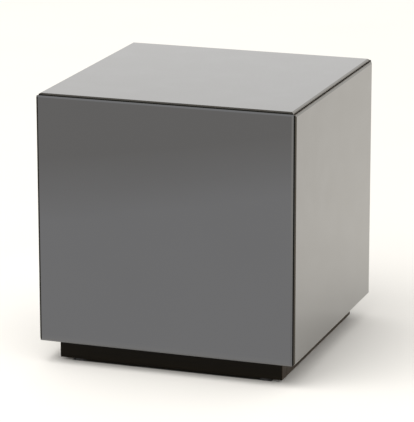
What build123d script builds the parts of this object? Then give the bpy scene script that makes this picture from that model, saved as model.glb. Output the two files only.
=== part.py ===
from build123d import *
import os

os.makedirs("parts", exist_ok=True)

# A mirrored cube side table: five smoked mirrors taped to a closed carcass of boards, which stands
# on a recessed plinth with four screw-adjusted feet. Each mirror has a narrow bevel and stops short
# of its neighbours' faces, so every edge of the cube is an open notch, about as deep as the glass is
# thick. The front and back mirrors reach a little further and lap over their neighbours' edges.
#
# Millimetres, +Z up. The origin is on the floor under the cube's middle, and the front faces -Y.

# ---- Driving dimensions ----
WIDTH = 400.0  # mirrored cube, outside, across and front to back
CUBE_HEIGHT = 378.0  # mirrored cube alone, from its lower edge to its top face
PLINTH_HEIGHT = 31.0
PLINTH_INSET = 25.0  # from the mirrors' outside to the plinth's outside
FOOT_GAP = 4.0  # height of the foot's pad, which is all that shows under the plinth

GLASS = 4.0
BEVEL_WIDTH = 2.5  # the narrow bevel round each mirror's face
BEVEL_DROP = 1.5  # how much thinner the glass is at the bevel's outer edge
ARRIS = 0.5  # ground on the edges of the mirror's back
SEAM = 0.6  # how far two neighbouring mirrors stop short of each other's backs
LAP = 1.8  # how much further the front and back mirrors reach, sideways and upwards
TAPE = 1.0  # thickness of the double-sided mounting tape behind the mirrors
TAPE_WIDTH = 25.0
TAPE_STRIPS = 4
TAPE_MARGIN = 20.0  # from the board's edge to the nearest tape

BOARD = 16.0
BATTEN = 20.0  # square glue batten in each upright corner of the carcass
RAIL = 22.0  # thickness of the plinth rails
BLOCK = 40.0  # side of the square corner blocks inside the plinth
BLOCK_HEIGHT = 26.0
BLOCK_CHAMFER = 8.0

GLUE_GAP = 0.05  # radial room round dowels, screws and inserts

# ---- Fasteners ----
DOWEL_RADIUS = 4.0
DOWEL_DEEP = 20.0  # how far a dowel goes into end grain
DOWEL_SHALLOW = 12.0  # how far it goes into a face
DOWEL_CHAMFER = 1.0
DOWELS_PER_CORNER = 3

PANEL_SCREW_LENGTH = 50.0
PANEL_SCREW_HEAD = 5.0
PANEL_SCREW_SHANK = 3.5
PANEL_SCREW_CORE = 2.5
PANEL_SCREW_SPREAD = 110.0  # from the middle of a wall to its screws
PANEL_SCREW_DRIVE = 4.0  # across the flats of the hexagon socket

WOOD_SCREW_HEAD = 4.0
WOOD_SCREW_SHANK = 2.5
WOOD_SCREW_CORE = 1.75
WOOD_SCREW_DRIVE = 3.0
BLOCK_SCREW_LENGTH = 55.0
CARCASS_SCREW_LENGTH = 38.0
SOCKET_DEPTH = 2.0
SCREW_TIP = 4.0  # length of the point
SCREW_SINK = 90.0  # angle of the countersunk heads

# ---- Feet ----
FOOT_FROM_END = 29.0  # from the plinth's end to the foot's axis, along the front or back rail
FOOT_RADIUS = 9.0
FOOT_ROUND = 0.8  # rounding of the pad's lower rim
FOOT_FLOOR = 1.2  # thickness of the pad under its socket
FOOT_LIP = 0.8  # thickness of the snap lip that holds the stem's head
STEM_RADIUS = 3.0  # M6, drawn as the outside of its thread
STEM_TOP = 26.0
STEM_CHAMFER = 0.7
STEM_HEAD = 4.6
STEM_DRIVE = 3.0  # hexagon socket, reached through the pad from below
STEM_DRIVE_DEPTH = 3.0
HEAD_PLAY = 0.05
INSERT_RADIUS = 4.75
INSERT_LENGTH = 12.0
INSERT_CHAMFER = 0.4
INSERT_BORE = STEM_RADIUS + 0.05  # running fit of the thread
STEM_ROOM = 0.3  # radial room for the stem above its insert
STEM_BORE_DEPTH = 24.0

# ---- Levels and half-widths that follow ----
CUBE_BOTTOM = FOOT_GAP + PLINTH_HEIGHT
TOP = CUBE_BOTTOM + CUBE_HEIGHT
CARCASS = WIDTH - 2 * (GLASS + TAPE)
CARCASS_TOP = TOP - GLASS - TAPE
WALL_BOTTOM = CUBE_BOTTOM + BOARD
WALL_TOP = CARCASS_TOP - BOARD
WALL_HEIGHT = WALL_TOP - WALL_BOTTOM
WALL_MIDDLE = (WALL_TOP + WALL_BOTTOM) / 2
WALL_LINE = (CARCASS - BOARD) / 2  # centre line of a wall board
SHORT_WALL = CARCASS - 2 * BOARD  # the front and back boards stand between the side boards
MIRROR = WIDTH - 2 * (GLASS + SEAM)  # width of the side mirrors, and both sides of the top one
MIRROR_HEIGHT = CUBE_HEIGHT - GLASS - SEAM
PLINTH = WIDTH - 2 * PLINTH_INSET
RAIL_LINE = (PLINTH - RAIL) / 2
RAIL_INSIDE = PLINTH / 2 - RAIL
BLOCK_CENTRE = RAIL_INSIDE - BLOCK / 2
BLOCK_BOTTOM = CUBE_BOTTOM - BLOCK_HEIGHT
FOOT_LINE = PLINTH / 2 - FOOT_FROM_END

# Each wall has a plane that faces outwards: seen from outside, x runs to the right and y runs up.
WALLS = {
    "front": Plane(origin=(0, 0, 0), x_dir=(1, 0, 0), z_dir=(0, -1, 0)),
    "right": Plane(origin=(0, 0, 0), x_dir=(0, 1, 0), z_dir=(1, 0, 0)),
    "back": Plane(origin=(0, 0, 0), x_dir=(-1, 0, 0), z_dir=(0, 1, 0)),
    "left": Plane(origin=(0, 0, 0), x_dir=(0, -1, 0), z_dir=(-1, 0, 0)),
}
CORNERS = {
    "front_left": (-1, -1),
    "front_right": (1, -1),
    "back_left": (-1, 1),
    "back_right": (1, 1),
}
WIDE_WALLS = ("left", "right")  # their boards run the full depth, and their mirrors don't lap

# The dowel joints: each plane lies where two boards meet and faces into the outer board.
DOWEL_PITCH = WALL_HEIGHT / DOWELS_PER_CORNER
DOWEL_HEIGHTS = [WALL_MIDDLE + DOWEL_PITCH * step for step in (-1, 0, 1)]
CARCASS_JOINTS = {
    corner: [
        Plane(origin=(x * SHORT_WALL / 2, y * WALL_LINE, height), z_dir=(x, 0, 0))
        for height in DOWEL_HEIGHTS
    ]
    for corner, (x, y) in CORNERS.items()
}
RAIL_MIDDLE = FOOT_GAP + PLINTH_HEIGHT / 2
PLINTH_JOINTS = {
    corner: Plane(origin=(x * RAIL_LINE, y * RAIL_INSIDE, RAIL_MIDDLE), z_dir=(0, y, 0))
    for corner, (x, y) in CORNERS.items()
}

# The corner blocks' screws: two go outwards into the rails, at different heights so that they
# pass each other, and one goes up into the carcass.
BLOCK_FACE = RAIL_INSIDE - BLOCK
BLOCK_SCREW_LINE = BLOCK_FACE + 16.0
LOW_SCREW = BLOCK_BOTTOM + 7.0
HIGH_SCREW = BLOCK_BOTTOM + 19.0
LIFT_SCREW_LINE = BLOCK_FACE + 30.0
BLOCK_SCREWS_TO_LONG_RAIL = {
    corner: Plane(
        origin=(x * BLOCK_SCREW_LINE, y * BLOCK_FACE, LOW_SCREW), z_dir=(0, -y, 0)
    )
    for corner, (x, y) in CORNERS.items()
}
BLOCK_SCREWS_TO_SHORT_RAIL = {
    corner: Plane(
        origin=(x * BLOCK_FACE, y * BLOCK_SCREW_LINE, HIGH_SCREW), z_dir=(-x, 0, 0)
    )
    for corner, (x, y) in CORNERS.items()
}
CARCASS_SCREWS = {
    corner: Plane(
        origin=(x * LIFT_SCREW_LINE, y * LIFT_SCREW_LINE, BLOCK_BOTTOM), z_dir=(0, 0, -1)
    )
    for corner, (x, y) in CORNERS.items()
}


def save(builder, name):
    """Labels a finished piece and writes its STEP file."""
    builder.part.label = name
    export_step(builder.part, f"parts/{name}.step")


def corners_of(side):
    """The two corners at the ends of a wall or rail."""
    return [corner for corner in CORNERS if side in corner.split("_")]


def floor_point(side, out, along):
    """The point `out` from the centre towards a side and `along` to the right of its middle."""
    spot = WALLS[side].z_dir * out + WALLS[side].x_dir * along
    return (spot.X, spot.Y)


def panel_screw_points(sides):
    """Where the screws through the lid or the base meet the walls."""
    return [
        floor_point(side, WALL_LINE, along)
        for side in sides
        for along in (-PANEL_SCREW_SPREAD, PANEL_SCREW_SPREAD)
    ]


# ---- Mirrors and their tape ----
def make_mirror(name, plane, width, height, middle):
    """A pane of bevelled mirror. The plane is that of its back."""
    outwards = Axis(plane.origin, plane.z_dir)
    with BuildPart() as mirror_pane:
        with BuildSketch(plane):
            with Locations((0, middle)):
                Rectangle(width, height)
        extrude(amount=GLASS)
        back = mirror_pane.faces().sort_by(outwards)[0]
        chamfer(back.edges(), ARRIS)
        face = mirror_pane.faces().sort_by(outwards)[-1]
        chamfer(face.edges(), BEVEL_WIDTH, BEVEL_DROP, reference=face)
    save(mirror_pane, name)


def make_tape(name, plane, length, middle):
    """Parallel strips of mounting tape between a board and its mirror, as a group."""
    pitch = (CARCASS - TAPE_WIDTH - 2 * TAPE_MARGIN) / (TAPE_STRIPS - 1)
    with BuildPart() as tape:
        with BuildSketch(plane):
            with Locations((0, middle)):
                with GridLocations(pitch, length, TAPE_STRIPS, 1):
                    Rectangle(TAPE_WIDTH, length)
        extrude(amount=TAPE)
    save(tape, name)


for side, wall in WALLS.items():
    lap = 0 if side in WIDE_WALLS else LAP
    height = MIRROR_HEIGHT + lap
    make_mirror(
        f"mirror_{side}",
        wall.offset(WIDTH / 2 - GLASS),
        MIRROR + 2 * lap,
        height,
        CUBE_BOTTOM + height / 2,
    )
    tape_length = WALL_HEIGHT - 2 * TAPE_MARGIN
    make_tape(f"mirror_tape_{side}", wall.offset(CARCASS / 2), tape_length, WALL_MIDDLE)
make_mirror("mirror_top", Plane.XY.offset(TOP - GLASS), MIRROR, MIRROR, 0)
make_tape("mirror_tape_top", Plane.XY.offset(CARCASS_TOP), CARCASS - 2 * TAPE_MARGIN, 0)


# ---- Carcass ----
def make_wall(side):
    """A wall board, drilled for its dowels and for the screws in its upper and lower edge."""
    wide = side in WIDE_WALLS
    joints = [joint for corner in corners_of(side) for joint in CARCASS_JOINTS[corner]]
    with BuildPart() as board:
        with BuildSketch(WALLS[side].offset(CARCASS / 2 - BOARD)):
            with Locations((0, WALL_MIDDLE)):
                Rectangle(CARCASS if wide else SHORT_WALL, WALL_HEIGHT)
        extrude(amount=BOARD)
        with Locations(*joints):
            Hole(DOWEL_RADIUS + GLUE_GAP, DOWEL_SHALLOW if wide else DOWEL_DEEP)
        for level in (WALL_BOTTOM, WALL_TOP):
            with Locations(Plane.XY.offset(level)):
                with Locations(*panel_screw_points([side])):
                    Hole(PANEL_SCREW_CORE + GLUE_GAP, PANEL_SCREW_LENGTH - BOARD)
    save(board, f"carcass_{side}")


for side in WALLS:
    make_wall(side)

with BuildPart() as lid:
    with BuildSketch(Plane.XY.offset(WALL_TOP)):
        Rectangle(CARCASS, CARCASS)
    extrude(amount=BOARD)
    with Locations(Plane.XY.offset(CARCASS_TOP)):
        with Locations(*panel_screw_points(WALLS)):
            CounterSinkHole(
                PANEL_SCREW_SHANK + GLUE_GAP,
                PANEL_SCREW_HEAD + GLUE_GAP,
                counter_sink_angle=SCREW_SINK,
            )
save(lid, "carcass_lid")

with BuildPart() as base:
    with BuildSketch(Plane.XY.offset(CUBE_BOTTOM)):
        Rectangle(CARCASS, CARCASS)
    extrude(amount=BOARD)
    # The plane faces down; the screw pattern is symmetric.
    with Locations(Plane(origin=(0, 0, CUBE_BOTTOM), x_dir=(1, 0, 0), z_dir=(0, 0, -1))):
        with Locations(*panel_screw_points(WALLS)):
            CounterSinkHole(
                PANEL_SCREW_SHANK + GLUE_GAP,
                PANEL_SCREW_HEAD + GLUE_GAP,
                counter_sink_angle=SCREW_SINK,
            )
    with Locations(*[plane.offset(-BLOCK_HEIGHT) for plane in CARCASS_SCREWS.values()]):
        Hole(WOOD_SCREW_CORE + GLUE_GAP, CARCASS_SCREW_LENGTH - BLOCK_HEIGHT)
save(base, "carcass_base")

for corner, (x, y) in CORNERS.items():
    with BuildPart() as batten:
        with BuildSketch(Plane.XY.offset(WALL_BOTTOM)):
            with Locations((x * (SHORT_WALL - BATTEN) / 2, y * (SHORT_WALL - BATTEN) / 2)):
                Rectangle(BATTEN, BATTEN)
        extrude(amount=WALL_HEIGHT)
    save(batten, f"batten_{corner}")


# ---- Dowels and screws, each kind a group of separate solids ----
def make_dowels(name, joints):
    """Chamfered dowels: the deep end is in end grain, the shallow end in a face."""
    length = DOWEL_DEEP + DOWEL_SHALLOW
    with BuildPart() as dowels:
        with Locations(*[joint.offset(-DOWEL_DEEP) for joint in joints]):
            Cylinder(DOWEL_RADIUS, length, align=(Align.CENTER, Align.CENTER, Align.MIN))
        chamfer(dowels.edges().filter_by(GeomType.CIRCLE), DOWEL_CHAMFER)
    save(dowels, name)


make_dowels("carcass_dowels", [joint for joints in CARCASS_JOINTS.values() for joint in joints])
make_dowels("plinth_dowels", PLINTH_JOINTS.values())


def make_screw(length, head, shank, core, shank_length, drive):
    """A countersunk screw with a hexagon socket, its head at the origin and its point down."""
    sink = head - shank  # a 90 degree head narrows by its own depth
    with BuildPart() as screw:
        with BuildSketch(Plane.XZ):
            with BuildLine():
                Polyline(
                    (0, 0),
                    (head, 0),
                    (shank, -sink),
                    (shank, -shank_length),
                    (core, -shank_length),
                    (core, SCREW_TIP - length),
                    (0, -length),
                    close=True,
                )
            make_face()
        revolve(axis=Axis.Z)
        with BuildSketch():
            RegularPolygon(drive / 2, 6, major_radius=False)
        extrude(amount=-SOCKET_DEPTH, mode=Mode.SUBTRACT)
    return screw.part


def make_screws(name, screw, planes):
    """A group of equal screws: each plane lies on a head and faces away from its point."""
    with BuildPart() as screws:
        with Locations(*planes):
            add(screw)
    save(screws, name)


panel_screw = make_screw(
    PANEL_SCREW_LENGTH,
    PANEL_SCREW_HEAD,
    PANEL_SCREW_SHANK,
    PANEL_SCREW_CORE,
    BOARD,
    PANEL_SCREW_DRIVE,
)
block_screw = make_screw(
    BLOCK_SCREW_LENGTH,
    WOOD_SCREW_HEAD,
    WOOD_SCREW_SHANK,
    WOOD_SCREW_CORE,
    BLOCK,
    WOOD_SCREW_DRIVE,
)
carcass_screw = make_screw(
    CARCASS_SCREW_LENGTH,
    WOOD_SCREW_HEAD,
    WOOD_SCREW_SHANK,
    WOOD_SCREW_CORE,
    BLOCK_HEIGHT,
    WOOD_SCREW_DRIVE,
)
make_screws(
    "lid_screws",
    panel_screw,
    [Plane(origin=(x, y, CARCASS_TOP)) for x, y in panel_screw_points(WALLS)],
)
make_screws(
    "base_screws",
    panel_screw,
    [Plane(origin=(x, y, CUBE_BOTTOM), z_dir=(0, 0, -1)) for x, y in panel_screw_points(WALLS)],
)
make_screws(
    "block_screws",
    block_screw,
    [*BLOCK_SCREWS_TO_LONG_RAIL.values(), *BLOCK_SCREWS_TO_SHORT_RAIL.values()],
)
make_screws("plinth_to_carcass_screws", carcass_screw, CARCASS_SCREWS.values())

# ---- Plinth ----
# The front and back rails run the full length and carry the feet.
for side in ("front", "back"):
    feet = [floor_point(side, RAIL_LINE, along) for along in (-FOOT_LINE, FOOT_LINE)]
    with BuildPart() as rail:
        with BuildSketch(WALLS[side].offset(RAIL_INSIDE)):
            with Locations((0, RAIL_MIDDLE)):
                Rectangle(PLINTH, PLINTH_HEIGHT)
        extrude(amount=RAIL)
        with Locations(*[PLINTH_JOINTS[corner] for corner in corners_of(side)]):
            Hole(DOWEL_RADIUS + GLUE_GAP, DOWEL_SHALLOW)
        with Locations(*[BLOCK_SCREWS_TO_LONG_RAIL[corner] for corner in corners_of(side)]):
            Hole(WOOD_SCREW_CORE + GLUE_GAP, BLOCK_SCREW_LENGTH)
        with Locations(*[(x, y, FOOT_GAP) for x, y in feet]):
            Hole(STEM_RADIUS + STEM_ROOM, STEM_BORE_DEPTH)
            Hole(INSERT_RADIUS + GLUE_GAP, INSERT_LENGTH)
    save(rail, f"plinth_{side}")

# The side rails stand between them.
for side in ("left", "right"):
    with BuildPart() as rail:
        with BuildSketch(WALLS[side].offset(RAIL_INSIDE)):
            with Locations((0, RAIL_MIDDLE)):
                Rectangle(2 * RAIL_INSIDE, PLINTH_HEIGHT)
        extrude(amount=RAIL)
        with Locations(*[PLINTH_JOINTS[corner] for corner in corners_of(side)]):
            Hole(DOWEL_RADIUS + GLUE_GAP, DOWEL_DEEP)
        with Locations(*[BLOCK_SCREWS_TO_SHORT_RAIL[corner] for corner in corners_of(side)]):
            Hole(WOOD_SCREW_CORE + GLUE_GAP, BLOCK_SCREW_LENGTH)
    save(rail, f"plinth_{side}")

for corner, (x, y) in CORNERS.items():
    with BuildPart() as block:
        with BuildSketch(Plane.XY.offset(BLOCK_BOTTOM)):
            with Locations((x * BLOCK_CENTRE, y * BLOCK_CENTRE)):
                Rectangle(BLOCK, BLOCK)
        extrude(amount=BLOCK_HEIGHT)
        inner_edge = block.edges().filter_by(Axis.Z).sort_by_distance((0, 0, RAIL_MIDDLE))[0]
        chamfer(inner_edge, BLOCK_CHAMFER)
        screw_heads = [
            BLOCK_SCREWS_TO_LONG_RAIL[corner],
            BLOCK_SCREWS_TO_SHORT_RAIL[corner],
            CARCASS_SCREWS[corner],
        ]
        with Locations(*screw_heads):
            CounterSinkHole(
                WOOD_SCREW_SHANK + GLUE_GAP,
                WOOD_SCREW_HEAD + GLUE_GAP,
                counter_sink_angle=SCREW_SINK,
            )
    save(block, f"plinth_block_{corner}")

# ---- Feet: a stem that screws in a threaded insert, with a pad snapped on its head ----
HEAD_BOTTOM = FOOT_FLOOR + HEAD_PLAY
SOCKET_TOP = FOOT_GAP - FOOT_LIP
HEAD_TOP = SOCKET_TOP - HEAD_PLAY
SOCKET_RADIUS = STEM_HEAD + 0.1  # the pad turns freely on the head
LIP_RADIUS = STEM_RADIUS + 0.1
KEY_RADIUS = 2.5  # hole through the pad for the hexagon key

for corner, (x, y) in CORNERS.items():
    foot = Plane(origin=(x * FOOT_LINE, y * RAIL_LINE, 0))

    with BuildPart() as insert:
        with BuildSketch(foot.offset(FOOT_GAP)):
            Circle(INSERT_RADIUS)
            Circle(INSERT_BORE, mode=Mode.SUBTRACT)
        extrude(amount=INSERT_LENGTH)
        outer_rims = insert.edges().filter_by(GeomType.CIRCLE).group_by(SortBy.RADIUS)[-1]
        chamfer(outer_rims, INSERT_CHAMFER)
    save(insert, f"foot_insert_{corner}")

    with BuildPart() as stem:
        with BuildSketch(foot.offset(HEAD_BOTTOM)):
            Circle(STEM_HEAD)
        extrude(amount=HEAD_TOP - HEAD_BOTTOM)
        with BuildSketch(foot.offset(HEAD_BOTTOM)):
            Circle(STEM_RADIUS)
        extrude(amount=STEM_TOP - HEAD_BOTTOM)
        chamfer(stem.faces().sort_by(Axis.Z)[-1].edges(), STEM_CHAMFER)
        with BuildSketch(foot.offset(HEAD_BOTTOM)):
            RegularPolygon(STEM_DRIVE / 2, 6, major_radius=False)
        extrude(amount=STEM_DRIVE_DEPTH, mode=Mode.SUBTRACT)
    save(stem, f"foot_stem_{corner}")

    with BuildPart() as pad:
        with BuildSketch(foot):
            Circle(FOOT_RADIUS)
        extrude(amount=FOOT_GAP)
        fillet(pad.faces().sort_by(Axis.Z)[0].edges(), FOOT_ROUND)
        with BuildSketch(foot):
            Circle(KEY_RADIUS)
        extrude(amount=FOOT_FLOOR, mode=Mode.SUBTRACT)
        with BuildSketch(foot.offset(FOOT_FLOOR)):
            Circle(SOCKET_RADIUS)
        extrude(amount=SOCKET_TOP - FOOT_FLOOR, mode=Mode.SUBTRACT)
        with BuildSketch(foot.offset(SOCKET_TOP)):
            Circle(LIP_RADIUS)
        extrude(amount=FOOT_LIP, mode=Mode.SUBTRACT)
    save(pad, f"foot_pad_{corner}")
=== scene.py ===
import math

import bmesh
import bpy
from mathutils import Matrix, Vector


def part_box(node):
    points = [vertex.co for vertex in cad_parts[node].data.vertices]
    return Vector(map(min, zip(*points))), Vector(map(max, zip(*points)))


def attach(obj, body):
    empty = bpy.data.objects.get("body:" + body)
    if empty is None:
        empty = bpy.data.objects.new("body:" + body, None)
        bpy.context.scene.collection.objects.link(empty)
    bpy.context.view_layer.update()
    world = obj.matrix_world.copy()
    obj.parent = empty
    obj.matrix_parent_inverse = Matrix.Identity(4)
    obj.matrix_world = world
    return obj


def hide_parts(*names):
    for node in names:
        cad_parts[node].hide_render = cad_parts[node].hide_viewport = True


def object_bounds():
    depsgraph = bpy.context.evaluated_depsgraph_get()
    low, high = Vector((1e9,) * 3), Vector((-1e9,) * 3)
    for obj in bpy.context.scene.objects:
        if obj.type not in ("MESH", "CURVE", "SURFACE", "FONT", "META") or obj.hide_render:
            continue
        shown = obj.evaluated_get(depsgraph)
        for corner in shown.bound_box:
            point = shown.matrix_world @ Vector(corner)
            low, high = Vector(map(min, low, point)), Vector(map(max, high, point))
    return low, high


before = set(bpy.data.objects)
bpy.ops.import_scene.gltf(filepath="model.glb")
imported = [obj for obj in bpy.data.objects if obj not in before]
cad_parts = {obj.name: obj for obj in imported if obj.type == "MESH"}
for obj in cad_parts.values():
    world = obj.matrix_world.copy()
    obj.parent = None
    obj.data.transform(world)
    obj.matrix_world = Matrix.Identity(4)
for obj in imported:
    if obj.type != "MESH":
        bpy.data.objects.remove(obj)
cad_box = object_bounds()

# A mirrored cube side table, in metres: +Z up, the front faces -Y, the floor is z = 0.

SIDES = ("front", "right", "back", "left")
CORNERS = ("front_left", "front_right", "back_left", "back_right")
MILLIMETRE = 0.001


# ---------------------------------------------------------------- node materials
MIX_FACTOR, MIX_FIRST, MIX_SECOND, MIX_RESULT = 0, 6, 7, 2  # a Mix node's sockets for colours


class Paint:
    """A material with a Principled shader and small helpers to link procedural nodes to it."""

    def __init__(self, name, **sockets):
        self.material = bpy.data.materials.new(name)
        self.material.use_nodes = True
        self.tree = self.material.node_tree
        self.tree.nodes.clear()
        self.output = self.tree.nodes.new("ShaderNodeOutputMaterial")
        self.shader = self.tree.nodes.new("ShaderNodeBsdfPrincipled")
        self.link(self.shader.outputs["BSDF"], self.output.inputs["Surface"])
        self.place = self.tree.nodes.new("ShaderNodeTexCoord").outputs["Object"]
        for socket, value in sockets.items():
            self.shader.inputs[socket.replace("_", " ")].default_value = value

    def link(self, output, socket):
        self.tree.links.new(output, socket)

    def node(self, kind, **settings):
        made = self.tree.nodes.new("ShaderNode" + kind)
        for key, value in settings.items():
            setattr(made, key, value)
        return made

    def stretched(self, scale):
        """Object coordinates, in metres, times a scale for each axis."""
        mapping = self.node("Mapping")
        mapping.inputs["Scale"].default_value = scale
        self.link(self.place, mapping.inputs["Vector"])
        return mapping.outputs["Vector"]

    def noise(self, scale, detail=2.0, roughness=0.5, distortion=0.0, at=None):
        made = self.node("TexNoise")
        made.inputs["Scale"].default_value = scale
        made.inputs["Detail"].default_value = detail
        made.inputs["Roughness"].default_value = roughness
        made.inputs["Distortion"].default_value = distortion
        self.link(at or self.place, made.inputs["Vector"])
        return made.outputs["Fac"]

    def between(self, value, low, high, from_low=0.0, from_high=1.0):
        """Maps a value's range on to another range, and stops at its ends."""
        made = self.node("MapRange")
        for socket, number in zip(
            ("From Min", "From Max", "To Min", "To Max"), (from_low, from_high, low, high)
        ):
            made.inputs[socket].default_value = number
        self.link(value, made.inputs["Value"])
        return made.outputs["Result"]

    def ramp(self, value, *stops):
        """A colour ramp: each stop is (position, (r, g, b))."""
        made = self.node("ValToRGB")
        elements = made.color_ramp.elements
        while len(elements) < len(stops):
            elements.new(0.5)
        for element, (position, colour) in zip(elements, stops):
            element.position = position
            element.color = (*colour, 1.0)
        self.link(value, made.inputs["Fac"])
        return made.outputs["Color"]

    def tones(self, value, low, high, start=0.3, end=0.7):
        """A ramp from a low tone to a high one."""
        return self.ramp(value, (start, low), (end, high))

    def blend(self, factor, first, second, kind="MIX"):
        """Mixes two colours; each of the three can be a number, a colour or a node's output."""
        made = self.node("Mix", data_type="RGBA", blend_type=kind)
        for socket, value in ((MIX_FACTOR, factor), (MIX_FIRST, first), (MIX_SECOND, second)):
            if isinstance(value, (int, float)):
                made.inputs[socket].default_value = value
            elif isinstance(value, tuple):
                made.inputs[socket].default_value = (*value, 1.0)
            else:
                self.link(value, made.inputs[socket])
        return made.outputs[MIX_RESULT]

    def sum(self, first, second, weight=1.0):
        """first + second * weight"""
        made = self.node("Math", operation="MULTIPLY_ADD")
        self.link(second, made.inputs[0])
        made.inputs[1].default_value = weight
        self.link(first, made.inputs[2])
        return made.outputs[0]

    def split(self):
        """The x and y of the surface's own place."""
        made = self.node("SeparateXYZ")
        self.link(self.place, made.inputs["Vector"])
        return made.outputs["X"], made.outputs["Y"]

    def product(self, first, second):
        made = self.node("Math", operation="MULTIPLY")
        self.link(first, made.inputs[0])
        self.link(second, made.inputs[1])
        return made.outputs[0]

    def within(self, value, limit, fade):
        """1 while the value's size is under a limit, falling to 0 over the fade."""
        size = self.node("Math", operation="ABSOLUTE")
        self.link(value, size.inputs[0])
        return self.between(size.outputs[0], 1.0, 0.0, limit, limit + fade)

    def bump(self, height, distance):
        """Relief: a height from 0 to 1 stands for that distance."""
        made = self.node("Bump")
        made.inputs["Distance"].default_value = distance
        made.inputs["Strength"].default_value = 1.0
        self.link(height, made.inputs["Height"])
        self.link(made.outputs["Normal"], self.shader.inputs["Normal"])

    def set(self, socket, output):
        self.link(output, self.shader.inputs[socket])

    def show(self, factor, first, second):
        """Makes the surface a mix of two shaders."""
        mix = self.node("MixShader")
        self.link(factor, mix.inputs["Fac"])
        self.link(first, mix.inputs[1])
        self.link(second, mix.inputs[2])
        self.link(mix.outputs["Shader"], self.output.inputs["Surface"])


EDGE_SHEEN = 0.45
LACQUER_SHEEN = 0.08
MIRROR_TONE = (0.157, 0.156, 0.154)
MIRROR_GRAZING = (0.857, 0.85, 0.84, 1.0)  # what a mirror keeps of the light that grazes it
BEVEL_TONE = (0.125, 0.120, 0.108)
# The bevel and edge tones below have copies that shade() hands out by the way a band faces: a cooler
# front bevel, a dark bevel and shadow tones that are painted shade, and a pale edge that is painted
# light.
FRONT_BEVEL_TONE = (0.117, 0.118, 0.121)
DARK_BEVEL_TONE = (0.022, 0.019, 0.014)
SHADOW_TONES = ((0.015, 0.014, 0.010), (0.022, 0.020, 0.015))
EDGE_TONES = ((0.0045, 0.0046, 0.0026), (0.0080, 0.0081, 0.0048))
PALE_EDGE_TONES = ((0.098, 0.084, 0.066), (0.145, 0.124, 0.098))
ARRIS_TONES = ((0.020, 0.018, 0.013), (0.034, 0.030, 0.022))
BACK_TONES = ((0.10, 0.105, 0.11), (0.15, 0.155, 0.16))
# The plinth's faces that look left or right get a lighter, browner copy of the lacquer than the front
# and back: painted light.
FRONT_LACQUER = ((0.0034, 0.0022, 0.0006), (0.0062, 0.0042, 0.0014))
SIDE_LACQUER_PAINTED_LIGHT = ((0.022, 0.0140, 0.0068), (0.034, 0.0225, 0.0120))
BASE_TONES = ((0.020, 0.017, 0.014), (0.032, 0.028, 0.023))
FIBRE_TONES = ((0.012, 0.0115, 0.011), (0.028, 0.027, 0.025))
BOARD_TONES = ((0.015, 0.0145, 0.0135), (0.024, 0.023, 0.0215))
PINE = ((0.74, 0.55, 0.33), (0.56, 0.36, 0.18))
BEECH = ((0.70, 0.50, 0.33), (0.58, 0.39, 0.24))
PORE_TONES = ((0.72, 0.72, 0.72), (1.0, 1.0, 1.0))
ZINC_TONES = ((0.50, 0.51, 0.52), (0.66, 0.67, 0.67))
THREAD_TONES = ((0.48, 0.49, 0.50), (0.64, 0.65, 0.64))
BRASS_TONES = ((0.62, 0.43, 0.16), (0.78, 0.58, 0.27))
NYLON_TONES = ((0.012, 0.012, 0.012), (0.022, 0.0215, 0.021))
FOAM_TONES = ((0.50, 0.50, 0.47), (0.74, 0.74, 0.71))


def smoked_mirror(name, tone):
    """Silver behind grey glass: a dim reflection, clouded a little, under a clear front surface."""
    paint = Paint(
        name,
        Metallic=1.0,
        Specular_Tint=MIRROR_GRAZING,
        Coat_Weight=1.0,
        Coat_Roughness=0.0,
        Coat_IOR=1.5,
    )
    low, high = (tuple(channel * share for channel in tone) for share in (0.98, 1.02))
    cloud = paint.noise(4.0, detail=3.0, roughness=0.55)
    paint.set("Base Color", paint.tones(cloud, low, high))
    haze = paint.noise(26.0, detail=4.0)
    paint.set("Roughness", paint.between(haze, 0.012, 0.02, 0.35, 0.7))
    wave = paint.noise(3.0, detail=0.0)
    paint.bump(wave, 0.08 * MILLIMETRE)
    return paint.material


def glass_edge(name, tones):
    """The ground edge of grey glass: greenish black, with the faint lines of the grinding belt."""
    paint = Paint(name, Specular_IOR_Level=EDGE_SHEEN)
    cloud = paint.noise(60.0, detail=3.0)
    paint.set("Base Color", paint.tones(cloud, *tones))
    lines = paint.noise(900.0, detail=2.0)
    paint.set("Roughness", paint.between(lines, 0.10, 0.22))
    paint.bump(lines, 0.02 * MILLIMETRE)
    return paint.material


def glass_arris():
    """The narrow flats ground on the glass's sharp corners: satin, a little paler than the edge."""
    paint = Paint("glass_arris", Specular_IOR_Level=EDGE_SHEEN)
    grit = paint.noise(2600.0, detail=2.0)
    paint.set("Base Color", paint.tones(grit, *ARRIS_TONES))
    paint.set("Roughness", paint.between(grit, 0.28, 0.45))
    paint.bump(grit, 0.03 * MILLIMETRE)
    return paint.material


def shadow_bevel():
    """A bevel painted near black: painted shade for the dark it would show behind the glass."""
    paint = Paint("mirror_bevel_shadow", Roughness=0.6, Specular_IOR_Level=0.0)
    cloud = paint.noise(60.0, detail=2.0)
    paint.set("Base Color", paint.tones(cloud, *SHADOW_TONES))
    return paint.material


def mirror_back():
    """The protective paint on the back of the silver."""
    paint = Paint("mirror_back_paint", Roughness=0.6)
    spray = paint.noise(700.0, detail=3.0)
    paint.set("Base Color", paint.tones(spray, *BACK_TONES, 0.35, 0.65))
    paint.bump(spray, 0.05 * MILLIMETRE)
    return paint.material


def grain_scale(along, across, length):
    """A noise scale for each axis: one value across the grain and one along it."""
    return [length if axis == along else across for axis in "xyz"]


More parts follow.
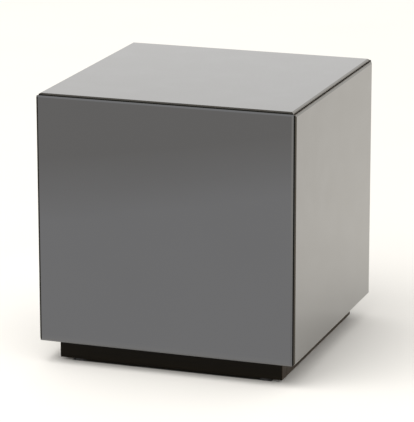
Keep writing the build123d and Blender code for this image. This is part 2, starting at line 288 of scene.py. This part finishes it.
def wood(name, pale, dark, along, pitch=3.5 * MILLIMETRE):
    """Plain timber: growth lines stretched along one axis, with fine pores."""
    paint = Paint(name)
    lines = grain_scale(along, 1.0 / pitch * 0.5, 1.0 / pitch * 0.02)
    rings = paint.noise(1.0, detail=4.0, roughness=0.6, distortion=0.5, at=paint.stretched(lines))
    pores = paint.noise(1.0, detail=2.0, at=paint.stretched(grain_scale(along, 2400.0, 70.0)))
    middle = tuple((a + b) / 2 for a, b in zip(pale, dark))
    growth = paint.ramp(rings, (0.32, dark), (0.5, middle), (0.62, pale))
    pits = paint.tones(pores, *PORE_TONES, 0.3, 0.55)
    paint.set("Base Color", paint.blend(1.0, growth, pits, "MULTIPLY"))
    paint.set("Roughness", paint.between(pores, 0.5, 0.68))
    paint.bump(paint.sum(rings, pores, 0.6), 0.08 * MILLIMETRE)
    return paint.material


def fibreboard():
    """Medium-density board, near black so that it reads dark in the slits between the panes: painted
    shade. Felted fibres, no direction.
    """
    paint = Paint("fibreboard", Roughness=0.85)
    felt = paint.noise(420.0, detail=5.0, roughness=0.7, distortion=0.6)
    patch = paint.noise(14.0, detail=3.0)
    fibres, patches = paint.tones(felt, *FIBRE_TONES), paint.tones(patch, *BOARD_TONES)
    paint.set("Base Color", paint.blend(0.35, fibres, patches))
    paint.bump(felt, 0.12 * MILLIMETRE)
    return paint.material


def lacquer(name, along, tones):
    """Black-brown satin lacquer over wood whose grain just telegraphs through."""
    paint = Paint(name, Specular_IOR_Level=LACQUER_SHEEN)
    lines = paint.stretched(grain_scale(along, 260.0, 7.0))
    grain = paint.noise(1.0, detail=4.0, roughness=0.62, distortion=0.4, at=lines)
    peel = paint.noise(320.0, detail=2.0)
    paint.set("Base Color", paint.tones(grain, *tones))
    paint.set("Roughness", paint.between(grain, 0.30, 0.42))
    paint.bump(paint.sum(grain, peel, 0.35), 0.04 * MILLIMETRE)
    return paint.material


def base_paint():
    """Matt black-brown paint rolled on the board, with the roller's stipple."""
    paint = Paint("base_paint")
    stipple = paint.noise(520.0, detail=3.0, roughness=0.6)
    patch = paint.noise(9.0, detail=3.0)
    paint.set("Base Color", paint.tones(patch, *BASE_TONES))
    paint.set("Roughness", paint.between(stipple, 0.55, 0.75))
    paint.bump(stipple, 0.18 * MILLIMETRE)
    return paint.material


def metal(name, tones, gloss, scale=900.0):
    """Plated or turned metal with fine tool marks and a slightly uneven film."""
    paint = Paint(name, Metallic=1.0)
    marks = paint.noise(scale, detail=3.0, roughness=0.6)
    film = paint.noise(140.0, detail=3.0)
    paint.set("Base Color", paint.tones(film, *tones))
    paint.set("Roughness", paint.between(marks, *gloss))
    paint.bump(marks, 0.01 * MILLIMETRE)
    return paint.material


def nylon():
    """Moulded black nylon, spark-eroded to a fine matt."""
    paint = Paint("foot_nylon")
    grit = paint.noise(2200.0, detail=2.0)
    scuff = paint.noise(160.0, detail=4.0)
    paint.set("Base Color", paint.tones(scuff, *NYLON_TONES, 0.35, 0.75))
    paint.set("Roughness", paint.between(scuff, 0.45, 0.6))
    paint.bump(grit, 0.03 * MILLIMETRE)
    return paint.material


def foam():
    """White acrylic foam tape with open cells."""
    paint = Paint("foam_tape", Roughness=0.8)
    cells = paint.node("TexVoronoi", feature="F1")
    cells.inputs["Scale"].default_value = 1600.0
    paint.link(paint.place, cells.inputs["Vector"])
    paint.set("Base Color", paint.tones(cells.outputs["Distance"], *FOAM_TONES, 0.1, 0.6))
    paint.bump(cells.outputs["Distance"], 0.1 * MILLIMETRE)
    return paint.material


# One material for each of the pane's bands, in the order of FACE, EDGE, FLAT and so on below.
mirror_materials = [
    smoked_mirror("smoked_mirror", MIRROR_TONE),
    glass_edge("glass_edge", EDGE_TONES),
    glass_arris(),
    mirror_back(),
    # Darker and paler copies of the bevel and the edge, handed out by shade(): painted shade and
    # painted light.
    smoked_mirror("mirror_bevel", BEVEL_TONE),
    smoked_mirror("mirror_bevel_dark", DARK_BEVEL_TONE),
    glass_edge("glass_edge_pale", PALE_EDGE_TONES),
    smoked_mirror("mirror_bevel_front", FRONT_BEVEL_TONE),
    shadow_bevel(),
]
lacquer_front = lacquer("plinth_lacquer_x", "x", FRONT_LACQUER)
lacquer_side = lacquer("plinth_lacquer_y", "y", SIDE_LACQUER_PAINTED_LIGHT)
zinc = metal("zinc", ZINC_TONES, (0.25, 0.42))
zinc_thread = metal("zinc_thread", THREAD_TONES, (0.22, 0.36), 1500.0)
brass = metal("brass_insert", BRASS_TONES, (0.2, 0.34), 1400.0)
black_nylon = nylon()


def finish_node(name, material):
    """Gives a CAD node that stays visible its material."""
    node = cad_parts[name]
    if not node.material_slots:
        node.data.materials.append(material)
    for slot in node.material_slots:
        slot.material = material


board = fibreboard()
for side in SIDES:
    finish_node(f"carcass_{side}", board)
finish_node("carcass_lid", board)
tape = foam()
for side in ("top", *SIDES):
    finish_node(f"mirror_tape_{side}", tape)
pine_upright = wood("pine_upright", *PINE, "z")
for corner in CORNERS:
    finish_node(f"batten_{corner}", pine_upright)
    finish_node(f"foot_insert_{corner}", brass)
BEECH_PITCH = 1.2 * MILLIMETRE
finish_node("carcass_dowels", wood("beech_x", *BEECH, "x", BEECH_PITCH))
finish_node("plinth_dowels", wood("beech_y", *BEECH, "y", BEECH_PITCH))
for kind in ("lid_screws", "base_screws", "block_screws", "plinth_to_carcass_screws"):
    finish_node(kind, zinc)


# ---------------------------------------------------------------- mesh helpers
def piece(name, mesh, body, slot, *nodes):
    """Links a finished mesh as a piece of the object that replaces CAD nodes and rides on a body."""
    made = bpy.data.objects.new(name, mesh)
    bpy.context.scene.collection.objects.link(made)
    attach(made, body)
    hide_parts(*nodes)
    return made


def to_mesh(name, bm, materials):
    mesh = bpy.data.meshes.new(name)
    bmesh.ops.recalc_face_normals(bm, faces=bm.faces)
    bm.to_mesh(mesh)
    bm.free()
    for material in materials:
        mesh.materials.append(material)
    return mesh


def smooth(mesh, angle):
    """Smooth shading, with every edge sharper than the angle, in degrees, kept crisp."""
    for polygon in mesh.polygons:
        polygon.use_smooth = True
    mesh.set_sharp_from_angle(angle=math.radians(angle))


# ---------------------------------------------------------------- mirror panes
BEVEL_WIDTH = 2.5 * MILLIMETRE  # the narrow bevel round each mirror's face
BEVEL_DROP = 1.5 * MILLIMETRE
ARRIS = 0.5 * MILLIMETRE  # flat ground on the edges of the mirror's back
EASE = 0.08 * MILLIMETRE  # tiny flat where the bevel meets the edge
CORNER_RADIUS = 0.5 * MILLIMETRE
CORNER_POINTS = 4
FACE, EDGE, FLAT, BACK, BEVEL, DARK_BEVEL, PALE_EDGE, FRONT_BEVEL, SHADOW_BEVEL = range(9)
LEANS = 0.3  # a band leans along an axis if its normal has more than this of it
LOOKS = 0.5  # a pane looks along an axis if its outward direction has more than this of it


def rounded_loop(half_u, half_v, inset):
    """Points round a rectangle with small round corners, drawn in from its outline by an inset."""
    points = []
    for quarter, (u, v) in enumerate(((1, 1), (-1, 1), (-1, -1), (1, -1))):
        centre_u = u * (half_u - inset - CORNER_RADIUS)
        centre_v = v * (half_v - inset - CORNER_RADIUS)
        for step in range(CORNER_POINTS):
            angle = math.tau / 4 * (quarter + step / (CORNER_POINTS - 1))
            points.append(
                (centre_u + CORNER_RADIUS * math.cos(angle), centre_v + CORNER_RADIUS * math.sin(angle))
            )
    return points


def shade(material, normal, outward):
    """Gives a band a darker or paler copy of its material by the way it faces: painted shade and
    painted light.
    On the top and side panes, the bevels towards the front and back, which would trap the light, get a
    dark copy (painted shade), and the edges along the table's sides, which would catch it, get a paler
    copy (painted light). The bevels of the upright corners at the left get near-black paint, painted
    shade for showing no light at all. The other bevels of the front and back panes get a cooler copy of
    their own."""
    if abs(outward.y) > LOOKS:
        if material == BEVEL:
            return SHADOW_BEVEL if normal.x < -LEANS else FRONT_BEVEL
        return material
    if material == BEVEL and abs(normal.y) > LEANS:
        return SHADOW_BEVEL if outward.x < -LOOKS else DARK_BEVEL
    if material == EDGE and abs(normal.y) < LEANS:
        return PALE_EDGE
    return material


def mirror_pane(side, outward):
    """A pane with a narrow bevel round its mirror face; outward is the way that face looks."""
    node = f"mirror_{side}"
    low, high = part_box(node)
    middle, half = (low + high) / 2, (high - low) / 2
    up = Vector((0, 1, 0)) if abs(outward.z) > LOOKS else Vector((0, 0, 1))
    across = up.cross(outward)
    reach_u, reach_v, reach_out = (
        sum(abs(a * b) for a, b in zip(half, axis)) for axis in (across, up, outward)
    )
    glass = 2 * reach_out
    # From the back to the face: (inset, height above the back, material of the band that follows).
    steps = (
        (ARRIS, 0.0, FLAT),
        (0.0, ARRIS, EDGE),
        (0.0, glass - BEVEL_DROP - EASE, FLAT),
        (EASE, glass - BEVEL_DROP + EASE * BEVEL_DROP / BEVEL_WIDTH, BEVEL),
        (BEVEL_WIDTH, glass, FACE),
    )
    bm = bmesh.new()
    loops = []
    for inset, height, _ in steps:
        plane = middle + outward * (height - reach_out)
        outline = rounded_loop(reach_u, reach_v, inset)
        loops.append([bm.verts.new(plane + across * u + up * v) for u, v in outline])
    count = len(loops[0])
    for (_, _, material), first, second in zip(steps, loops, loops[1:]):
        for i in range(count):
            j = (i + 1) % count
            band = bm.faces.new((first[i], first[j], second[j], second[i]))
            band.normal_update()
            band.material_index = shade(material, band.normal, outward)
    bm.faces.new(loops[0][::-1]).material_index = BACK
    bm.faces.new(loops[-1]).material_index = FACE
    mesh = to_mesh(f"{node}_pane", bm, mirror_materials)
    return piece(f"{node}_pane", mesh, "table", "smoked_mirror", node)


OUTWARD = {
    "top": Vector((0, 0, 1)),
    "front": Vector((0, -1, 0)),
    "right": Vector((1, 0, 0)),
    "back": Vector((0, 1, 0)),
    "left": Vector((-1, 0, 0)),
}
for side, outward in OUTWARD.items():
    mirror_pane(side, outward)


# ---------------------------------------------------------------- softened boards
WELD = 1e-6  # the CAD mesh's double points are nearer than this
ON_BOX = 1e-5  # how near a point is to its node's box to count as on it
TURNED = 0.99  # an edge runs along an axis if its direction has more than this of it
SIDEWAYS = 0.7  # a face looks left or right if its normal has more than this of it


def softened(node, suffix, slot, materials, keep, width, segments=3):
    """The CAD node's own shape with some of its outer edges rounded. keep(edge middle, edge
    direction) says which edges of the node's box are rounded. A second material goes on the faces
    that look left or right."""
    low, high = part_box(node)
    bm = bmesh.new()
    bm.from_mesh(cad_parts[node].data)
    bmesh.ops.remove_doubles(bm, verts=bm.verts, dist=WELD)
    bmesh.ops.dissolve_limit(bm, angle_limit=math.radians(0.5), verts=bm.verts, edges=bm.edges)
    for face in bm.faces:
        face.material_index = 0

    def on_box(point):
        """How many of the box's planes the point lies on."""
        return sum(
            min(abs(value - a), abs(value - b)) < ON_BOX
            for value, a, b in zip(point, low, high)
        )

    rounded = []
    for edge in bm.edges:
        if edge.calc_face_angle(0) < 1.0:
            continue
        middle = (edge.verts[0].co + edge.verts[1].co) / 2
        direction = (edge.verts[1].co - edge.verts[0].co).normalized()
        if on_box(middle) >= 2 and keep(middle, direction):
            rounded.append(edge)
    bmesh.ops.bevel(bm, geom=rounded, offset=width, segments=segments, profile=0.5, affect="EDGES")
    if len(materials) > 1:
        bm.normal_update()
        for face in bm.faces:
            face.material_index = int(abs(face.normal.x) > SIDEWAYS)
    mesh = to_mesh(node + suffix, bm, materials)
    smooth(mesh, 35.0)
    made = piece(node + suffix, mesh, "table", slot, node)
    weighted = made.modifiers.new("even_shading", "WEIGHTED_NORMAL")
    weighted.keep_sharp = True
    return made


def along(axis):
    """Edges that run along one axis."""
    return lambda middle, direction: abs(direction[axis]) > TURNED


def everywhere(middle, direction):
    return True


RAIL_EASE = 0.8 * MILLIMETRE
BOARD_EASE = 0.5 * MILLIMETRE
# Faces that look left or right take the lighter side lacquer: painted light.
for side in ("front", "back"):
    lacquers = [lacquer_front, lacquer_side]
    softened(f"plinth_{side}", "_rail", "plinth_lacquer", lacquers, everywhere, RAIL_EASE)
for side in ("left", "right"):
    softened(f"plinth_{side}", "_rail", "plinth_lacquer", [lacquer_side], along(1), RAIL_EASE)
softened("carcass_base", "_board", "base_paint", [base_paint()], everywhere, BOARD_EASE, 2)
pine_block = wood("pine_block", *PINE, "x")
for corner in CORNERS:
    block = f"plinth_block_{corner}"
    softened(block, "_wood", "softwood", [pine_block], everywhere, BOARD_EASE, 2)


# ---------------------------------------------------------------- lofted feet
def loft(name, rings, materials, closed=False):
    """Quads between rings of equally many points; open lofts get a face at each end."""
    bm = bmesh.new()
    made = [[bm.verts.new(point) for point in ring] for ring in rings]
    count = len(rings[0])
    pairs = list(zip(made, made[1:])) + ([(made[-1], made[0])] if closed else [])
    for first, second in pairs:
        for i in range(count):
            j = (i + 1) % count
            bm.faces.new((first[i], first[j], second[j], second[i]))
    if not closed:
        bm.faces.new(made[0][::-1])
        bm.faces.new(made[-1])
    return to_mesh(name, bm, materials)


def ring(centre, radius, z, count):
    """Points on a circle; radius is a number or a function of the angle."""
    angles = [math.tau * i / count for i in range(count)]
    reach = radius if callable(radius) else lambda angle: radius
    return [
        (centre.x + reach(a) * math.cos(a), centre.y + reach(a) * math.sin(a), z)
        for a in angles
    ]


PAD_POINTS = 144
PAD_FLUTES = 24
FLUTE_DEPTH = 0.22 * MILLIMETRE
# The pad's section in millimetres, starting at the key hole: (radius, height) ...
PAD_SOLE = (
    (2.5, 0.3),
    (2.8, 0.0),
    (5.2, 0.0),
    (5.5, 0.35),
    (6.3, 0.35),
    (6.6, 0.0),
    (7.9, 0.0),
    (8.35, 0.09),
)
# ... then its fluted rim: (inset from the pad's outside, height, share of the flutes' depth) ...
PAD_RIM = ((0.28, 0.34, 0.3), (0.05, 0.8, 1.0), (0.0, 1.2, 1.0), (0.0, 3.4, 1.0), (0.12, 3.8, 0.6))
# ... and its top, snap lip and the recess for the stem's head: (radius, height).
PAD_INSIDE = ((8.55, 4.0), (3.35, 4.0), (3.1, 3.8), (3.1, 3.2), (4.7, 3.2), (4.7, 1.2), (2.5, 1.2))


def fluted(radius, depth):
    """A grip rim: shallow flutes cut in a circle."""
    return lambda angle: radius - depth * (0.5 - 0.5 * math.cos(angle * PAD_FLUTES)) ** 2


def foot_pad(corner):
    """A moulded glide: fluted rim, a ring groove in its sole and a key hole in the middle."""
    node = f"foot_pad_{corner}"
    low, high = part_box(node)
    centre = (low + high) / 2
    radius = (high.x - low.x) / 2

    def level(reach, height):
        return ring(centre, reach, low.z + height * MILLIMETRE, PAD_POINTS)

    rings = [level(reach * MILLIMETRE, height) for reach, height in PAD_SOLE]
    for inset, height, share in PAD_RIM:
        rings.append(level(fluted(radius - inset * MILLIMETRE, FLUTE_DEPTH * share), height))
    rings += [level(reach * MILLIMETRE, height) for reach, height in PAD_INSIDE]
    mesh = loft(f"{node}_glide", rings, [black_nylon], closed=True)
    smooth(mesh, 38.0)
    return piece(f"{node}_glide", mesh, f"pad_{corner}", "foot_nylon", node)


STEM_POINTS = 48
STEM_EASE = 0.15 * MILLIMETRE
HEAD_HEIGHT = 1.9 * MILLIMETRE
SOCKET_FLATS = 3.0 * MILLIMETRE
SOCKET_DEPTH = 3.0 * MILLIMETRE
SOCKET_TIP = (0.6 * MILLIMETRE, 0.5 * MILLIMETRE)  # radius and height of the cone at its end
RELIEF_HEIGHT = 0.4 * MILLIMETRE  # plain neck between the head and the thread
STEM_TIP = 2.2 * MILLIMETRE  # radius of the stem's upper end
THREAD_PITCH = 1.0 * MILLIMETRE
THREAD_CREST = 2.98 * MILLIMETRE
THREAD_ROOT = 2.42 * MILLIMETRE
THREAD_RINGS = 10  # rings in each turn of the thread; it also rises over as many at its start
THREAD_STEP = THREAD_PITCH / THREAD_RINGS
THREAD_RUN_OUT = 0.9 * MILLIMETRE  # it fades out over this much at its end
ROOT_START, FLANK = 0.4375, 0.25  # shares of the pitch, from the middle of a crest


def thread_radius(z, angle, taper):
    """The radius of a right-hand thread: flat crests and roots joined by straight flanks."""
    phase = (z / THREAD_PITCH - angle / math.tau) % 1.0
    ridge = max(0.0, min(1.0, (ROOT_START - abs(phase - 0.5)) / FLANK))
    return THREAD_ROOT + (THREAD_CREST - THREAD_ROOT) * ridge * taper


def hexagon(centre, flats, z, count):
    """As many points as the rings have, spread over a hexagon with that distance across flats."""
    def reach(angle):
        return flats / 2 / math.cos((angle % (math.tau / 6)) - math.tau / 12)

    return ring(centre, reach, z, count)


def foot_stem(corner):
    """A levelling screw: hexagon socket in its head, a relief, then a right-hand thread."""
    node = f"foot_stem_{corner}"
    low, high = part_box(node)
    centre = (low + high) / 2
    head = (high.x - low.x) / 2
    socket = low.z + SOCKET_DEPTH
    head_top = low.z + HEAD_HEIGHT
    tip_radius, tip_height = SOCKET_TIP
    rings = [
        ring(centre, tip_radius, socket + tip_height, STEM_POINTS),
        hexagon(centre, SOCKET_FLATS, socket, STEM_POINTS),
        hexagon(centre, SOCKET_FLATS, low.z + STEM_EASE, STEM_POINTS),
        hexagon(centre, SOCKET_FLATS + 2 * STEM_EASE, low.z, STEM_POINTS),
        ring(centre, head - STEM_EASE, low.z, STEM_POINTS),
        ring(centre, head, low.z + STEM_EASE, STEM_POINTS),
        ring(centre, head, head_top - STEM_EASE, STEM_POINTS),
        ring(centre, head - STEM_EASE, head_top, STEM_POINTS),
        ring(centre, THREAD_ROOT, head_top, STEM_POINTS),
    ]
    start = head_top + RELIEF_HEIGHT
    for i in range(int((high.z - start) / THREAD_STEP) + 1):
        z = start + i * THREAD_STEP
        taper = max(0.0, min(1.0, i / THREAD_RINGS, (high.z - z) / THREAD_RUN_OUT))
        rings.append(ring(centre, lambda a: thread_radius(z, a, taper), z, STEM_POINTS))
    rings.append(ring(centre, STEM_TIP, high.z, STEM_POINTS))
    mesh = loft(f"{node}_screw", rings, [zinc_thread])
    smooth(mesh, 50.0)
    return piece(f"{node}_screw", mesh, f"stem_{corner}", "zinc_stem", node)


for corner in CORNERS:
    foot_pad(corner)
    foot_stem(corner)


# ---------------------------------------------------------------- studio
def stage_plane(name, corners, material):
    """One flat face that belongs to the studio and not to the table."""
    bm = bmesh.new()
    bm.faces.new([bm.verts.new(corner) for corner in corners])
    mesh = bpy.data.meshes.new(name)
    bm.to_mesh(mesh)
    bm.free()
    mesh.materials.append(material)
    made = bpy.data.objects.new(name, mesh)
    bpy.context.scene.collection.objects.link(made)
    return made


FLOOR = 15.0  # half the floor's width
FLOOR_TONES = ((0.918, 0.892, 0.842), (0.932, 0.906, 0.856))
UNDER_HALF_WIDTH = 0.156  # the floor is painted dark under the plinth, a painted shadow, out to the feet's outer sides
UNDER_HALF_DEPTH = 0.1705
UNDER_FADE = 3.0 * MILLIMETRE
PAINTED_SHADOW_TONE = (0.09, 0.085, 0.075)
# Round the table the floor is painted a little darker, in a wide soft ring of painted shade: (share of
# NEAR_REACH, tone).
NEAR_REACH = 2.5
SHADE_RING_TONES = (
    (0.14, (1.0, 1.0, 1.0)),
    (0.25, (0.945, 0.943, 0.94)),
    (0.42, (0.950, 0.948, 0.945)),
    (1.0, (1.0, 1.0, 1.0)),
)


def floor_material():
    """Pale matt floor, with a painted shadow under the plinth and a ring of painted shade round the
    table. It can be seen through from below, so that views from under the table work.
    """
    paint = Paint("floor", Roughness=1.0, Specular_IOR_Level=0.0)
    tint = paint.tones(paint.noise(3.0, detail=2.0), *FLOOR_TONES)
    x, y = paint.split()
    distance = paint.node("VectorMath", operation="LENGTH")
    paint.link(paint.place, distance.inputs[0])
    share = paint.between(distance.outputs["Value"], 0.0, 1.0, 0.0, NEAR_REACH)
    # painted shade: the floor darker in a ring round the table
    toned = paint.blend(1.0, tint, paint.ramp(share, *SHADE_RING_TONES), "MULTIPLY")
    # painted shadow: the floor dark under the plinth
    under = paint.product(
        paint.within(x, UNDER_HALF_WIDTH, UNDER_FADE),
        paint.within(y, UNDER_HALF_DEPTH, UNDER_FADE),
    )
    paint.set("Base Color", paint.blend(under, toned, PAINTED_SHADOW_TONE))
    clear = paint.node("BsdfTransparent").outputs["BSDF"]
    from_below = paint.node("NewGeometry").outputs["Backfacing"]
    paint.show(from_below, paint.shader.outputs["BSDF"], clear)
    return paint.material


floor = stage_plane(
    "floor",
    [(-FLOOR, -FLOOR, 0), (FLOOR, -FLOOR, 0), (FLOOR, FLOOR, 0), (-FLOOR, FLOOR, 0)],
    floor_material(),
)
floor.visible_diffuse = False  # the underside is lit from below, for views from under the table

# The flag is a glowing grey card that lies on the floor in front, and only reflections see it: a
# painted reflection that makes the front mirror show a darker room than the others do, and darker still
# beyond a soft slanting line.
FLAG_EDGE = cad_box[0].y
FLAG_REACH = 6.0
FLAG_HEIGHT = 1.0 * MILLIMETRE
FLAG_NEAR = (0.775, 0.778, 0.800)
FLAG_FAR = (0.620, 0.610, 0.606)
FLAG_SLANT = 0.94  # metres the line comes nearer for each metre to the left
FLAG_FADE = (-2.0, -1.42)  # where the fade starts and ends, in metres in front of the middle
FLAG_WANDER = 0.35  # how far the line wanders, in metres
FLAG_RIGHT = (0.15, 0.9)  # where in x the card fades out on the right ...
FLAG_LEFT = (-2.4, -1.1)  # ... and on the left
FLAG_BACK = (-0.33, -0.2)  # where in y it fades out towards the table


def flag_material():
    """An even grey glow with a darker far part, fading to clear at its edges."""
    paint = Paint("flag_grey")
    x, y = paint.split()
    slant = paint.sum(y, x, FLAG_SLANT)
    wander = paint.sum(slant, paint.noise(1.6, detail=2.0), FLAG_WANDER)
    nearness = paint.between(wander, 0.0, 1.0, *(limit + FLAG_WANDER / 2 for limit in FLAG_FADE))
    glow = paint.node("Emission")
    paint.link(paint.tones(nearness, FLAG_FAR, FLAG_NEAR, 0.0, 1.0), glow.inputs["Color"])
    sides = paint.product(
        paint.between(x, 1.0, 0.0, *FLAG_RIGHT),
        paint.between(x, 0.0, 1.0, *FLAG_LEFT),
    )
    solid = paint.product(sides, paint.between(y, 1.0, 0.0, *FLAG_BACK))
    clear = paint.node("BsdfTransparent").outputs["BSDF"]
    paint.show(solid, clear, glow.outputs["Emission"])
    paint.tree.nodes.remove(paint.shader)
    paint.material.cycles.emission_sampling = "NONE"
    return paint.material


flag = stage_plane(
    "flag",
    [
        (-FLAG_REACH, -FLAG_REACH, FLAG_HEIGHT),
        (FLAG_REACH, -FLAG_REACH, FLAG_HEIGHT),
        (FLAG_REACH, FLAG_EDGE, FLAG_HEIGHT),
        (-FLAG_REACH, FLAG_EDGE, FLAG_HEIGHT),
    ],
    flag_material(),
)
flag.visible_camera = False
flag.visible_diffuse = False
flag.visible_shadow = False
flag.visible_transmission = False

world = bpy.data.worlds.new("studio")
bpy.context.scene.world = world
world.use_nodes = True
sky = world.node_tree.nodes["Background"]
sky.inputs["Color"].default_value = (1.0, 1.0, 1.0, 1.0)
sky.inputs["Strength"].default_value = 1.0

KEY_PLACE = Vector((-0.9, -1.5, 3.3))
KEY_TARGET = Vector((0, 0, 0.2))
key_data = bpy.data.lights.new("key", "AREA")
key_data.shape = "SQUARE"
key_data.size = 2.4
key_data.energy = 55.0
key = bpy.data.objects.new("key", key_data)
key.location = KEY_PLACE
key.rotation_mode = "QUATERNION"
key.rotation_quaternion = (KEY_TARGET - KEY_PLACE).to_track_quat("-Z", "Y")
key.visible_glossy = False  # it would show as a hard white patch in the mirrors
bpy.context.scene.collection.objects.link(key)

# ---------------------------------------------------------------- camera
# The photo's viewing angle, from a fit of the box's visible edges.
CAMERA_AZIMUTH = math.radians(19.246)
CAMERA_ELEVATION = math.radians(15.0)
CAMERA_ROLL = math.radians(-0.069)
CAMERA_DISTANCE = 4.325
CAMERA_TARGET = Vector((-0.00259, 0.0, 0.2014))
LENS = 242.2

camera_data = bpy.data.cameras.new("camera")
camera_data.sensor_width = 36.0
camera_data.lens = LENS
camera_data.clip_start = 0.1
camera_data.clip_end = 60.0
camera = bpy.data.objects.new("camera", camera_data)
bpy.context.scene.collection.objects.link(camera)
back = Vector(
    (
        math.sin(CAMERA_AZIMUTH) * math.cos(CAMERA_ELEVATION),
        -math.cos(CAMERA_AZIMUTH) * math.cos(CAMERA_ELEVATION),
        math.sin(CAMERA_ELEVATION),
    )
)
camera.rotation_mode = "QUATERNION"
camera.location = CAMERA_TARGET + back * CAMERA_DISTANCE
camera.rotation_quaternion = (
    (-back).to_track_quat("-Z", "Y") @ Matrix.Rotation(CAMERA_ROLL, 3, "Z").to_quaternion()
)
bpy.context.scene.camera = camera

bpy.context.scene.view_settings.view_transform = "Standard"
